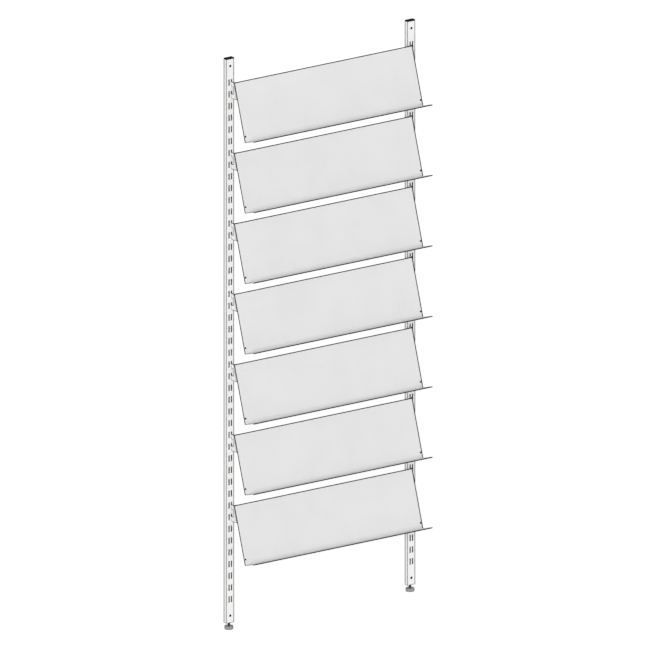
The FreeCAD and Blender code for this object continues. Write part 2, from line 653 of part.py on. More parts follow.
def make_corner_plugs(doc, shelf):
    """Two push-in plugs that close the accessory holes of a back plate."""
    name = f"shelf_{shelf + 1}"
    body = make_body(doc, f"{name}_corner_plugs")
    body.AllowCompound = True
    profile = make_sketch(body, "YZ_Plane", f"{name}_plug_profile")
    head = "Sizes.plug_head_diameter / 2"
    neck = "Sizes.accessory_hole_diameter / 2 - Sizes.plug_clearance"
    tail = "(Sizes.sheet_thickness + Sizes.plug_tail_length)"
    draw_outline(profile, [
        ("-Sizes.plug_head_height", "0"),
        (tail, "0"),
        (tail, "Sizes.plug_tail_diameter / 2"),
        ("Sizes.sheet_thickness", "Sizes.plug_barb_diameter / 2"),
        ("Sizes.sheet_thickness", neck),
        ("0", neck),
        ("0", head),
        ("Sizes.plug_head_bevel - Sizes.plug_head_height", head),
        ("-Sizes.plug_head_height", f"{head} - Sizes.plug_head_bevel"),
    ])
    plug = add_revolution(body, profile, "H_Axis", f"{name}_plug")
    between = f"{PANEL_WIDTH} - 2 * Sizes.accessory_hole_side"
    add_row(body, plug, (profile, ["N_Axis"]), between, "2", f"{name}_plug_pair")

    down = "(Sizes.panel_length - Sizes.accessory_hole_rise)"
    forward = f"({down} * sin(Sizes.panel_tilt) + Sizes.sheet_thickness * cos(Sizes.panel_tilt))"
    drop = f"({down} * cos(Sizes.panel_tilt) - Sizes.sheet_thickness * sin(Sizes.panel_tilt))"
    place(
        body,
        x=f"Sizes.accessory_hole_side - {PANEL_WIDTH} / 2",
        y=f"{TUBE_FRONT_Y} - Sizes.panel_stand_off - {forward}",
        z=f"{seat_height(shelf)} + Sizes.neck_height - {drop}",
        turn_axis=X_DIRECTION,
        turn="-Sizes.panel_tilt",
    )
    return body


# ---------------------------------------------------------------- the whole rack

def make_rack(doc):
    """Every sub-part of the rack, each a node of its own."""
    frame_makers = (
        make_upright, make_top_cap, make_foot_insert, make_foot_nut, make_foot_stud, make_foot_disc,
    )
    nodes = []
    for side, sign in SIDES:
        for make in frame_makers:
            nodes.append(make(doc, side, sign))
    for shelf in range(SHELF_COUNT):
        nodes.append(make_panel(doc, shelf))
        for side, sign in SIDES:
            nodes.append(make_bracket(doc, shelf, side, sign))
        nodes.append(make_corner_plugs(doc, shelf))
    return nodes


def check_document(doc, nodes):
    """Stop unless every object is sound and every node holds a valid shape."""
    for item in doc.Objects:
        if "Invalid" in item.State or "Error" in item.State:
            raise RuntimeError(f"{item.Label} is {item.State}")
    for node in nodes:
        if node.Shape.isNull() or not node.Shape.isValid():
            raise RuntimeError(f"{node.Label} has no valid shape")


def export_nodes(nodes):
    """Write each node's shape to a file of its name."""
    os.makedirs(PARTS_FOLDER, exist_ok=True)
    for node in nodes:
        node.Shape.exportStep(os.path.join(PARTS_FOLDER, f"{node.Label}.step"))
        print(f"{node.Label}: {len(node.Shape.Solids)} solid(s), {node.Shape.Volume / 1000:.2f} cm3")


def main():
    doc = FreeCAD.newDocument("periodical_display_rack")
    make_sheet(doc)
    nodes = make_rack(doc)
    doc.recompute()
    check_document(doc, nodes)
    export_nodes(nodes)


main()
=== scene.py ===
"""Looks of the periodical display rack: finishes, screw threads, weld marks, studio and camera."""

import json
from math import ceil, cos, radians, sin, tau

import bmesh
import bpy
from mathutils import Matrix, Vector


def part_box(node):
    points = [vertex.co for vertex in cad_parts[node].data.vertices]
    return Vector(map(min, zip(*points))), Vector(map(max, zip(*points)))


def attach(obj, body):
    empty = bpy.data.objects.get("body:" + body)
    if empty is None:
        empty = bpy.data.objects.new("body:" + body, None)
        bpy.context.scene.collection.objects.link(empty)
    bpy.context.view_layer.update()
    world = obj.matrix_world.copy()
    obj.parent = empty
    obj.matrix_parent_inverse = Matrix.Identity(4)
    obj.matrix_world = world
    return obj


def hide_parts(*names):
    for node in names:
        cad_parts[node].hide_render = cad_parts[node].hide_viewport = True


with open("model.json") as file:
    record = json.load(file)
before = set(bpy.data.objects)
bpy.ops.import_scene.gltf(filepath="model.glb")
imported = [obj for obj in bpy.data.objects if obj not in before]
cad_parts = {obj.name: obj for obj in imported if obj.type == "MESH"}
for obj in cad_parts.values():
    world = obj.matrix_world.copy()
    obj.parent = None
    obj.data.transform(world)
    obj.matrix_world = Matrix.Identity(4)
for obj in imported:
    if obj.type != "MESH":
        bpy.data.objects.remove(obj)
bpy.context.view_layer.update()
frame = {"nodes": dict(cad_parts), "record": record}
nodes = frame["nodes"]
SIDES = ("left", "right")
SHELVES = range(1, 8)

# ---------------------------------------------------------------- sizes, in metres
TUBE_WALL = 0.0015
SHEET = 0.0015                   # the shelves' steel
PANEL_TILT = radians(18)         # the back plate leans this far from upright
LIP_DEPTH = 0.07                 # the lip, square to the back plate
BRACKET_PLATE = 0.002
FLANGE_WIDTH = 0.017             # welded to the back of the panel

# ---------------------------------------------------------------- studs' thread, M10 coarse
THREAD_PITCH = 0.0015
THREAD_DEPTH = 0.00092
CREST_HALF = 0.0625              # half the flat of a crest, as a share of the pitch
FLANK_SHARE = 0.375              # a flank's share of the pitch
POINT_DEPTH = 1.15 * THREAD_DEPTH   # how much a pointed end is turned down
THREAD_COLUMNS = 40              # points to a turn
THREAD_LEVELS = 8                # points to a pitch
SAME_PLACE = 1e-6                # points closer than this are one point

# ---------------------------------------------------------------- spot welds
WELD_DROPS = (0.012, 0.036, 0.06)   # down the back plate from its top edge
WELD_RADIUS = 0.0031
WELD_CORNERS = 28
WELD_RINGS = (                   # share of the radius, and height over the flange
    (1.0, -0.00005),
    (0.86, 0.00022),
    (0.72, 0.00026),
    (0.5, 0.00010),
)

# ---------------------------------------------------------------- view
VIEW_TURN = radians(35.13)       # the camera stands this far round to the left of the front
VIEW_TILT = radians(17.31)       # and looks down by this angle
VIEW_SIDE = 2.6418               # side of the square picture
VIEW_DISTANCE = 12.0             # from the camera to the rack
VIEW_REACH = 100.0               # nothing further away is seen
VIEW_RIGHT = 0.0169              # middle of the picture from the foot of the uprights' front plane
VIEW_UP = 1.1603

# ---------------------------------------------------------------- studio
WHITE = (1, 1, 1)
DOME_STRENGTH = 0.5
KEY_STRENGTH = 1.9
KEY_SOFTNESS = radians(26)
KEY_TURN = radians(-38)          # from the front, towards the rack's left side
KEY_HEIGHT = radians(14)
KEY_DISTANCE = 5.0
FLOOR_HALF = 60.0
FLOOR_TONE = (0.9, 0.9, 0.9)
FLOOR_ROUGHNESS = 0.9
FLOOR_GLOW = 0.5                 # added where the floor is seen


# ================================================================ node helpers
def feed(tree, socket, value):
    """Links another node's output to the socket, or sets the socket to a plain value."""
    if isinstance(value, bpy.types.NodeSocket):
        tree.links.new(value, socket)
    else:
        socket.default_value = value


def add_node(tree, kind, settings=None, **values):
    """Adds a shader node. An underscore in a value's name stands for a space in the socket's."""
    node = tree.nodes.new("ShaderNode" + kind)
    for name, setting in (settings or {}).items():
        setattr(node, name, setting)
    for label, value in values.items():
        feed(tree, node.inputs[label.replace("_", " ")], value)
    return node


def calculate(tree, operation, first, second=0.0):
    """One sum with plain values."""
    node = add_node(tree, "Math", {"operation": operation})
    feed(tree, node.inputs[0], first)
    feed(tree, node.inputs[1], second)
    return node.outputs["Value"]


def vector_calculate(tree, operation, first, second=(0, 0, 0)):
    """One sum with vectors."""
    node = add_node(tree, "VectorMath", {"operation": operation})
    feed(tree, node.inputs[0], first)
    feed(tree, node.inputs[1], second)
    return node.outputs["Value" if operation in ("DOT_PRODUCT", "LENGTH") else "Vector"]


def spread(tree, value, start, end, low=0.0, high=1.0):
    """Runs smoothly from low to high while the value goes from start to end."""
    node = add_node(tree, "MapRange", {"interpolation_type": "SMOOTHSTEP"}, Value=value,
                    From_Min=start, From_Max=end, To_Min=low, To_Max=high)
    return node.outputs["Result"]


def solid(colour, shade=1.0):
    """The opaque colour, darkened to a share of itself."""
    return (*(shade * part for part in colour), 1)


def mix_colours(tree, share, first, second):
    """The first colour where the share is 0, the second where it is 1."""
    node = add_node(tree, "Mix", {"data_type": "RGBA"})
    feed(tree, node.inputs["Factor"], share)
    feed(tree, next(s for s in node.inputs if s.identifier == "A_Color"), first)
    feed(tree, next(s for s in node.inputs if s.identifier == "B_Color"), second)
    return next(s for s in node.outputs if s.identifier == "Result_Color")


def lay_over(tree, under, mask, share, tone):
    """Lays a tone over a colour where the mask is, by the share at most."""
    return mix_colours(tree, calculate(tree, "MULTIPLY", mask, share), under, solid(tone))


def noise(tree, place, scale, detail=2.0, roughness=0.5):
    """Cloudy values about 0.5. The scale is in waves to a metre."""
    node = add_node(tree, "TexNoise", Vector=place, Scale=scale, Detail=detail, Roughness=roughness)
    return node.outputs[0]


def object_place(tree):
    """Place on the piece at rest, in metres, which moves with the piece."""
    return add_node(tree, "TexCoord").outputs["Object"]


def new_group(name, inputs, outputs):
    """Starts a node group. inputs maps names to plain numbers; outputs maps names to socket types."""
    tree = bpy.data.node_groups.new(name, "ShaderNodeTree")
    for label, value in inputs.items():
        socket = tree.interface.new_socket(label, in_out="INPUT", socket_type="NodeSocketFloat")
        socket.default_value = value
    for label, kind in outputs.items():
        tree.interface.new_socket(label, in_out="OUTPUT", socket_type="NodeSocket" + kind)
    entry = tree.nodes.new("NodeGroupInput")
    leave = tree.nodes.new("NodeGroupOutput")
    return tree, entry.outputs, leave.inputs


def use_group(tree, group, **values):
    """Places a group in a material, with its inputs by name, and hands back its outputs."""
    node = add_node(tree, "Group", {"node_tree": group}, **values)
    return node.outputs


# ================================================================ effects that finishes share
def make_edge_line():
    """Thin, broken line along every arris, where the finish is worn through, and a soft edge."""
    tree, given, result = new_group("edge line", {"Width": 0.001, "Breaks": 0.3},
                                    {"Mask": "Float", "Kept": "Float", "Soft Normal": "Vector"})
    wander_height = 0.02             # how unevenly the line is worn
    soft_share = 0.4                 # the soft edge, as a share of the line's width
    surface = add_node(tree, "NewGeometry").outputs["Normal"]
    wide = add_node(tree, "Bevel", {"samples": 8}, Radius=given["Width"]).outputs["Normal"]
    turned = calculate(tree, "ABSOLUTE", vector_calculate(tree, "DOT_PRODUCT", wide, surface))
    wander = noise(tree, object_place(tree), scale=240.0, detail=3.0)
    wander = calculate(tree, "MULTIPLY", wander, wander_height)
    line = spread(tree, calculate(tree, "ADD", turned, wander), start=1.0, end=0.975)
    gaps = noise(tree, object_place(tree), scale=170.0, detail=4.0, roughness=0.6)
    gaps = spread(tree, gaps, start=0.6, end=0.68)
    kept = calculate(tree, "SUBTRACT", 1.0, calculate(tree, "MULTIPLY", gaps, given["Breaks"]))
    feed(tree, result["Mask"], calculate(tree, "MULTIPLY", line, kept))
    feed(tree, result["Kept"], kept)
    narrow = calculate(tree, "MULTIPLY", given["Width"], soft_share)
    soft = add_node(tree, "Bevel", {"samples": 4}, Radius=narrow).outputs["Normal"]
    feed(tree, result["Soft Normal"], soft)
    return tree


def make_cut_line():
    """Line along the cut edges of a plate, found by looking into the plate for its rim."""
    tree, given, result = new_group("cut line", {"Depth": 0.001}, {"Mask": "Float"})
    into = add_node(tree, "AmbientOcclusion", {"samples": 24, "inside": True, "only_local": True},
                    Distance=given["Depth"]).outputs["AO"]
    feed(tree, result["Mask"], spread(tree, into, start=0.99, end=0.95))
    return tree


def make_coat_grain():
    """Orange-peel height and a faint cloudiness, as sprayed and baked powder leaves."""
    tree, given, result = new_group("coat grain", {"Grain Size": 0.0012, "Cloud Size": 0.12},
                                    {"Height": "Float", "Tone": "Float"})
    fine_share = 0.35                # of the tone, and clouds make up the rest
    place = object_place(tree)
    fine_scale = calculate(tree, "DIVIDE", 1.0, given["Grain Size"])
    cloud_scale = calculate(tree, "DIVIDE", 1.0, given["Cloud Size"])
    fine = noise(tree, place, fine_scale, detail=3.0, roughness=0.6)
    clouds = noise(tree, place, cloud_scale, detail=4.0, roughness=0.55)
    feed(tree, result["Height"], fine)
    tone = calculate(tree, "ADD", calculate(tree, "MULTIPLY", fine, fine_share),
                     calculate(tree, "MULTIPLY", clouds, 1 - fine_share))
    feed(tree, result["Tone"], tone)
    return tree


def make_crevice_shade():
    """Painted shade: darkens inside corners, creases and round the foot of whatever stands on a surface,
    where ambient occlusion finds them closed in.
    """
    tree, given, result = new_group("crevice shade", {"Reach": 0.006}, {"Mask": "Float"})
    open_share = add_node(tree, "AmbientOcclusion", {"samples": 8}, Distance=given["Reach"]).outputs["AO"]
    closed = spread(tree, open_share, start=0.8, end=0.25)
    patches = noise(tree, object_place(tree), scale=30.0, detail=3.0)
    patches = spread(tree, patches, start=0.3, end=0.6, low=0.55)
    feed(tree, result["Mask"], calculate(tree, "MULTIPLY", closed, patches))
    return tree


def make_settled_dust():
    """Pale dust on faces that look up."""
    tree, given, result = new_group("settled dust", {"Steepest": 0.25}, {"Mask": "Float"})
    upward = add_node(tree, "SeparateXYZ", Vector=add_node(tree, "NewGeometry").outputs["Normal"])
    facing = calculate(tree, "SUBTRACT", upward.outputs["Z"], given["Steepest"])
    lying = spread(tree, facing, start=0.0, end=0.5)
    patches = noise(tree, object_place(tree), scale=18.0, detail=5.0, roughness=0.65)
    patches = spread(tree, patches, start=0.4, end=0.75)
    feed(tree, result["Mask"], calculate(tree, "MULTIPLY", lying, patches))
    return tree


def make_rub_marks():
    """Fine scratches that run up and down, left by what is slid in and out."""
    tree, given, result = new_group("rub marks", {"Spacing": 0.004}, {"Mask": "Float"})
    lengthening = (1.0, 0.15, 0.045)   # draws the streaks out backwards and upwards
    place = object_place(tree)
    streaks = noise(tree, vector_calculate(tree, "MULTIPLY", place, lengthening),
                    calculate(tree, "DIVIDE", 1.0, given["Spacing"]))
    streaks = spread(tree, streaks, start=0.62, end=0.72)
    patches = spread(tree, noise(tree, place, scale=7.0), start=0.5, end=0.68)
    feed(tree, result["Mask"], calculate(tree, "MULTIPLY", streaks, patches))
    return tree


EDGE_LINE = make_edge_line()
CUT_LINE = make_cut_line()
COAT_GRAIN = make_coat_grain()
# painted shade for inside corners and creases
CREVICE_SHADE = make_crevice_shade()
SETTLED_DUST = make_settled_dust()
RUB_MARKS = make_rub_marks()


# ================================================================ finishes
# ---------------------------------------------------------------- tones and shares
WORN_STEEL = (0.01, 0.01, 0.0105)
RUBBED_COAT = (0.3, 0.3, 0.3)
COAT_DUST = (0.86, 0.85, 0.83)
# painted shade laid into a powder coat's inside corners and creases
COAT_CREVICE_SHADE = (0.16, 0.155, 0.15)
HOLLOW_DARK = (0.012, 0.012, 0.013)   # inside a tube, where the powder doesn't reach: bare steel, painted near black as the shade in there
HOLLOW_PALE = (0.035, 0.034, 0.033)
# painted shade laid into a moulding's crevices
MOULDING_CREVICE_SHADE = (0.02, 0.02, 0.02)
MOULDING_DUST = (0.5, 0.49, 0.47)
ZINC_DARK = (0.07, 0.071, 0.074)
ZINC_PALE = (0.16, 0.162, 0.166)
# painted shade laid into the roots of a stud's thread
THREAD_ROOT_SHADE = (0.02, 0.019, 0.018)
COAT_SHADE = 0.965               # the darker clouds of a coat, as a share of its colour
MOULDING_SHADE = 0.8             # and those of a moulding
MOULDING_UNEVENNESS = 0.06       # its roughness strays this far to both sides
LINE_BREAKS = 0.3                # how much fainter a worn line is at its breaks

# ---------------------------------------------------------------- worn bands, in metres
PANEL_BAND = 0.0041              # worn through along the edges of a shelf's sheet
PANEL_OFFSET = 0.0006            # wider than that at the right end, narrower at the left one
PLUG_SIDE = 0.008                # a corner plug's middle, from the end of the panel
PLUG_DROP = 0.225                # and down the back plate
PLUG_BAND = 0.0041               # worn round the plug, from its middle
CORNER_FRONT_BAND = 0.0034       # at a tube's corner, on its front or back
CORNER_OFFSET = 0.001            # wider than that at a right corner, narrower at a left one
CORNER_SIDE_BAND = 0.001         # at a front corner, on the side
CORNER_REAR_BAND = 0.006         # at a back corner, on the side
END_BAND = 0.0022                # round the foot of a tube
SCREW_HOLE_RISE = 0.03           # wall screw's hole, from the end of the tube
SCREW_HOLE_BAND = 0.0054         # round that hole, from its middle
CUT_LINE_DEPTH = 0.0019          # just less than the brackets' plate
BAND_SOFTNESS = 0.0003
BAND_WANDER = 0.0009             # how far a band's edge strays
HOLLOW_MARGIN = 0.0001           # the hollow's finish starts this deep in the tube's wall
SHELF_ROOM = 0.01                # height kept above a panel where its pattern repeats


def start_finish(name):
    """A new material with its Principled shader, ready to be fed."""
    material = bpy.data.materials.new(name)
    material.use_nodes = True
    tree = material.node_tree
    return material, tree, tree.nodes["Principled BSDF"]


def highest(tree, *masks):
    """The strongest of several masks."""
    top = masks[0]
    for mask in masks[1:]:
        top = calculate(tree, "MAXIMUM", top, mask)
    return top


def beyond(tree, value, start):
    """1 where the value is past the start, with a soft edge."""
    return spread(tree, value, start, start + BAND_SOFTNESS)


def short_of(tree, value, end):
    """1 where the value is still short of the end, with a soft edge."""
    return spread(tree, value, end, end - BAND_SOFTNESS)


def around(tree, sideways, lengthways, radius):
    """1 within the radius of a hole's middle, from the two distances to it."""
    apart = add_node(tree, "CombineXYZ", X=sideways, Y=lengthways).outputs["Vector"]
    return short_of(tree, vector_calculate(tree, "LENGTH", apart), radius)


def uneven_place(tree):
    """Place on the piece, nudged a little to and fro, so that a band's edge isn't ruled."""
    place = object_place(tree)
    stray = add_node(tree, "TexNoise", Vector=place, Scale=260.0, Detail=3.0).outputs["Color"]
    centred = vector_calculate(tree, "SUBTRACT", stray, (0.5, 0.5, 0.5))
    nudge = vector_calculate(tree, "MULTIPLY", centred, (BAND_WANDER, BAND_WANDER, BAND_WANDER))
    return vector_calculate(tree, "ADD", place, nudge)


def tube_section(tree, place):
    """From the middle of an upright: to the right, to the back and upwards, and its half size."""
    low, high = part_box("left_upright")
    middle, half = (low + high) / 2, (high - low) / 2
    place = add_node(tree, "SeparateXYZ", Vector=place).outputs
    nearest = calculate(tree, "MULTIPLY", calculate(tree, "SIGN", place["X"]), -middle.x)
    rightward = calculate(tree, "SUBTRACT", place["X"], nearest)
    backward = calculate(tree, "SUBTRACT", place["Y"], middle.y)
    upward = calculate(tree, "SUBTRACT", place["Z"], middle.z)
    return rightward, backward, upward, half


def tube_bands(tree):
    """Worn bands along a tube's four rounded corners, round its foot and round its screw holes."""
    rightward, backward, upward, half = tube_section(tree, uneven_place(tree))
    across = calculate(tree, "ABSOLUTE", calculate(tree, "ADD", rightward, CORNER_OFFSET))
    sides = beyond(tree, across, half.x - CORNER_FRONT_BAND)
    front = calculate(tree, "MULTIPLY", sides, short_of(tree, backward, CORNER_SIDE_BAND - half.y))
    rear = calculate(tree, "MULTIPLY", sides, beyond(tree, backward, half.y - CORNER_REAR_BAND))
    end = short_of(tree, upward, END_BAND - half.z)
    from_hole = calculate(tree, "SUBTRACT", calculate(tree, "ABSOLUTE", upward), half.z - SCREW_HOLE_RISE)
    ring = around(tree, rightward, from_hole, SCREW_HOLE_BAND)
    return highest(tree, front, rear, end, ring)


def tube_hollow(tree):
    """1 on the walls inside a tube, which take a near-black bare steel that also stands in for the shade
    in there.
    """
    rightward, backward, _, half = tube_section(tree, object_place(tree))
    skin = TUBE_WALL - HOLLOW_MARGIN
    wide = calculate(tree, "ABSOLUTE", rightward)
    deep = calculate(tree, "ABSOLUTE", backward)
    return calculate(tree, "MULTIPLY", calculate(tree, "LESS_THAN", wide, half.x - skin),
                     calculate(tree, "LESS_THAN", deep, half.y - skin))


def panel_bands(tree):
    """Worn bands along a panel's edges and its hem, and rings round its corner plugs.

    One pattern serves all shelves, because each hangs a pitch from the next.
    """
    low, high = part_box("shelf_1_panel")
    pitch = low.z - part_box("shelf_2_panel")[0].z
    top = high.z - SHEET * sin(PANEL_TILT)
    place = add_node(tree, "SeparateXYZ", Vector=uneven_place(tree)).outputs
    drop = calculate(tree, "SUBTRACT", top + SHELF_ROOM, place["Z"])
    drop = calculate(tree, "FLOORED_MODULO", drop, pitch)
    drop = calculate(tree, "SUBTRACT", drop, SHELF_ROOM)
    reach = calculate(tree, "SUBTRACT", high.y, place["Y"])
    down = calculate(tree, "ADD", calculate(tree, "MULTIPLY", reach, sin(PANEL_TILT)),
                     calculate(tree, "MULTIPLY", drop, cos(PANEL_TILT)))
    out = calculate(tree, "SUBTRACT", calculate(tree, "MULTIPLY", reach, cos(PANEL_TILT)),
                    calculate(tree, "MULTIPLY", drop, sin(PANEL_TILT)))
    across = calculate(tree, "ABSOLUTE", calculate(tree, "ADD", place["X"], PANEL_OFFSET))
    ends = beyond(tree, across, high.x - PANEL_BAND)
    from_plug = calculate(tree, "SUBTRACT", calculate(tree, "ABSOLUTE", place["X"]), high.x - PLUG_SIDE)
    ring = around(tree, from_plug, calculate(tree, "SUBTRACT", down, PLUG_DROP), PLUG_BAND)
    top_edge = short_of(tree, down, PANEL_BAND)
    hem = beyond(tree, out, LIP_DEPTH - PANEL_BAND)
    return highest(tree, ends, ring, top_edge, hem)


def bracket_bands(tree):
    """Worn line along a bracket's cut edges."""
    return use_group(tree, CUT_LINE, Depth=CUT_LINE_DEPTH)["Mask"]


def powder_coat(name, colour, line_width, bands=None, hollow=None):
    """Baked powder coat on sheet steel: fine grain, worn arrises, dust, painted shade in creases and
    faint rub marks; inside a tube, near-black bare steel that also stands in for shade.
    """
    material, tree, shader = start_finish(name)
    grain = use_group(tree, COAT_GRAIN, Grain_Size=0.0011, Cloud_Size=0.16)
    edge = use_group(tree, EDGE_LINE, Width=line_width, Breaks=LINE_BREAKS)
    crevice_shade = use_group(tree, CREVICE_SHADE, Reach=0.004)["Mask"]
    dust = use_group(tree, SETTLED_DUST, Steepest=0.2)["Mask"]
    rubs = use_group(tree, RUB_MARKS, Spacing=0.005)["Mask"]

    clouds = spread(tree, grain["Tone"], start=0.35, end=0.65)
    coat = mix_colours(tree, clouds, solid(colour, COAT_SHADE), solid(colour))
    coat = lay_over(tree, coat, rubs, share=0.1, tone=RUBBED_COAT)
    coat = lay_over(tree, coat, dust, share=0.12, tone=COAT_DUST)
    # painted shade in inside corners and creases
    coat = lay_over(tree, coat, crevice_shade, share=0.35, tone=COAT_CREVICE_SHADE)
    line = edge["Mask"]
    if bands:
        line = highest(tree, line, calculate(tree, "MULTIPLY", bands(tree), edge["Kept"]))
    coat = mix_colours(tree, line, coat, solid(WORN_STEEL))
    if hollow:
        # bare steel inside a tube, laid in near black as painted shade
        bare_and_shaded = mix_colours(tree, grain["Tone"], solid(HOLLOW_DARK), solid(HOLLOW_PALE))
        coat = mix_colours(tree, hollow(tree), coat, bare_and_shaded)
    feed(tree, shader.inputs["Base Color"], coat)

    roughness = spread(tree, grain["Tone"], start=0.3, end=0.7, low=0.58, high=0.7)
    feed(tree, shader.inputs["Roughness"], roughness)
    shader.inputs["Specular IOR Level"].default_value = 0.2
    peel = add_node(tree, "Bump", Strength=0.18, Distance=0.0002, Height=grain["Height"],
                    Normal=edge["Soft Normal"])
    feed(tree, shader.inputs["Normal"], peel.outputs["Normal"])
    return material


def moulded_plastic(name, colour, line_colour, roughness, shine=0.5, line_width=0.0008, line_share=0.5):
    """Moulded plastic with a fine eroded grain, its arrises rubbed or grimed to another tone, and painted
    shade in its crevices.
    """
    material, tree, shader = start_finish(name)
    grain = use_group(tree, COAT_GRAIN, Grain_Size=0.0007, Cloud_Size=0.02)
    edge = use_group(tree, EDGE_LINE, Width=line_width, Breaks=LINE_BREAKS)
    dust = use_group(tree, SETTLED_DUST, Steepest=0.3)["Mask"]
    crevice_shade = use_group(tree, CREVICE_SHADE, Reach=0.003)["Mask"]

    skin = mix_colours(tree, grain["Tone"], solid(colour, MOULDING_SHADE), solid(colour))
    skin = lay_over(tree, skin, edge["Mask"], share=line_share, tone=line_colour)
    # painted shade in the moulding's crevices
    skin = lay_over(tree, skin, crevice_shade, share=0.5, tone=MOULDING_CREVICE_SHADE)
    skin = lay_over(tree, skin, dust, share=0.02, tone=MOULDING_DUST)
    feed(tree, shader.inputs["Base Color"], skin)

    uneven = spread(tree, grain["Tone"], start=0.2, end=0.8,
                    low=roughness - MOULDING_UNEVENNESS, high=roughness + MOULDING_UNEVENNESS)
    feed(tree, shader.inputs["Roughness"], uneven)
    shader.inputs["Specular IOR Level"].default_value = shine
    grained = add_node(tree, "Bump", Strength=0.25, Distance=0.0001, Height=grain["Height"],
                       Normal=edge["Soft Normal"])
    feed(tree, shader.inputs["Normal"], grained.outputs["Normal"])
    return material


def zinc_plating(name):
    """Black zinc on turned steel: cloudy sheen, and painted shade in the thread's roots."""
    material, tree, shader = start_finish(name)
    grain = use_group(tree, COAT_GRAIN, Grain_Size=0.0005, Cloud_Size=0.008)
    crevice_shade = use_group(tree, CREVICE_SHADE, Reach=0.001)["Mask"]

    plate = mix_colours(tree, grain["Tone"], solid(ZINC_DARK), solid(ZINC_PALE))
    # painted shade in the roots of the thread
    plate = lay_over(tree, plate, crevice_shade, share=0.7, tone=THREAD_ROOT_SHADE)
    feed(tree, shader.inputs["Base Color"], plate)

    roughness = spread(tree, grain["Tone"], start=0.2, end=0.8, low=0.34, high=0.5)
    feed(tree, shader.inputs["Roughness"], roughness)
    shader.inputs["Metallic"].default_value = 0.8
    turned = add_node(tree, "Bump", Strength=0.2, Distance=0.00005, Height=grain["Height"])
    feed(tree, shader.inputs["Normal"], turned.outputs["Normal"])
    return material


FINISHES = {
    "upright_paint": powder_coat("white powder coat", (0.9, 0.9, 0.895), line_width=0.003,
                                 bands=tube_bands, hollow=tube_hollow),
    "shelf_paint": powder_coat("light grey powder coat", (0.79, 0.79, 0.792), line_width=0.0014,
                               bands=panel_bands),
    "bracket_paint": powder_coat("pale grey powder coat", (0.86, 0.86, 0.86), line_width=0.0045,
                                 bands=bracket_bands),
    "black_plastic": moulded_plastic("black moulding", (0.003, 0.003, 0.003),
                                     line_colour=(0.008, 0.008, 0.008), roughness=0.7, shine=0.05),
    "plug_plastic": moulded_plastic("dark grey moulding", (0.006, 0.006, 0.0065),
                                    line_colour=(0.02, 0.02, 0.02), roughness=0.65, shine=0.15),
    "insert_plastic": moulded_plastic("charcoal moulding", (0.05, 0.05, 0.05),
                                      line_colour=(0.12, 0.12, 0.12), roughness=0.55),
    "foot_plastic": moulded_plastic("grey moulding", (0.46, 0.46, 0.465),
                                    line_colour=(0.01, 0.01, 0.0105), roughness=0.55, shine=0.35,
                                    line_width=0.0028, line_share=0.95),
    "zinc_plate": zinc_plating("black zinc plate"),
}


def dress_nodes():
    """Every piece of the frame takes the finish of its material slot."""
    for subpart in frame["record"]["subparts"]:
        mesh = nodes[subpart["node"]].data
        mesh.materials.clear()
        mesh.materials.append(FINISHES[subpart["material_slot"]])


# ================================================================ pieces modelled here
def new_object(name, data):
    """A new object in the scene, for a mesh, a lamp or a camera."""
    thing = bpy.data.objects.new(name, data)
    bpy.context.scene.collection.objects.link(thing)
    return thing


def close_mesh(bm, name):
    """Turns all faces outwards and hands the shape over as a mesh."""
    bmesh.ops.recalc_face_normals(bm, faces=bm.faces)
    mesh = bpy.data.meshes.new(name)
    bm.to_mesh(mesh)
    bm.free()
    return mesh


def link_piece(name, mesh, body, slot):
    """Shows a mesh as a named piece that moves with a body and has that slot's finish."""
    piece = new_object(name, mesh)
    mesh.materials.append(FINISHES[slot])
    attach(piece, body)
    return piece


def thread_radius(share, outer):
    """Radius at a share of one pitch: crest, flank down, root, flank up."""
    from_crest = min(share, 1 - share)
    drop = min(max((from_crest - CREST_HALF) / FLANK_SHARE, 0.0), 1.0)
    return outer - THREAD_DEPTH * drop


def thread_point(low, high, column, level):
    """A point of the thread: its column says how far round it is, its level how far up the helix."""
    axis = (low + high) / 2
    outer = (high.x - low.x) / 2
    end_radius = outer - POINT_DEPTH
    angle = tau * column / THREAD_COLUMNS
    rise = low.z + (level / THREAD_LEVELS + column / THREAD_COLUMNS - 1) * THREAD_PITCH
    room = min(rise - low.z, high.z - rise)
    if room > 0:
        radius = min(thread_radius(level / THREAD_LEVELS % 1, outer), end_radius + room)
    else:
        radius = end_radius
        rise = min(max(rise, low.z), high.z)
    return axis.x + radius * cos(angle), axis.y + radius * sin(angle), rise


def add_thread(bm, low, high):
    """The thread's surface over the whole stud, still open at both ends."""
    turns = ceil((high.z - low.z) / THREAD_PITCH) + 2
    levels = (turns + 1) * THREAD_LEVELS + 1
    columns = [[bm.verts.new(thread_point(low, high, column, level)) for level in range(levels)]
               for column in range(THREAD_COLUMNS)]
    for i in range(THREAD_COLUMNS):
        near, far = columns[i], columns[(i + 1) % THREAD_COLUMNS]
        shift = THREAD_LEVELS if i == THREAD_COLUMNS - 1 else 0   # a turn ends one pitch up
        for k in range(levels - 1 - shift):
            bm.faces.new((near[k], far[k + shift], far[k + 1 + shift], near[k + 1]))


def make_threaded_stud(side):
    """Right-hand thread over the whole stud, both ends pointed."""
    low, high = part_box(f"{side}_foot_stud")
    bm = bmesh.new()
    add_thread(bm, low, high)
    bmesh.ops.remove_doubles(bm, verts=bm.verts, dist=SAME_PLACE)
    loose = [vertex for vertex in bm.verts if not vertex.link_faces]
    bmesh.ops.delete(bm, geom=loose, context="VERTS")
    rims = [edge for edge in bm.edges if edge.is_boundary]
    bmesh.ops.holes_fill(bm, edges=rims, sides=0)
    mesh = close_mesh(bm, f"{side}_threaded_stud")
    stud = link_piece(f"{side}_threaded_stud", mesh, f"{side}_foot_stud", "zinc_plate")
    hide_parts(f"{side}_foot_stud")


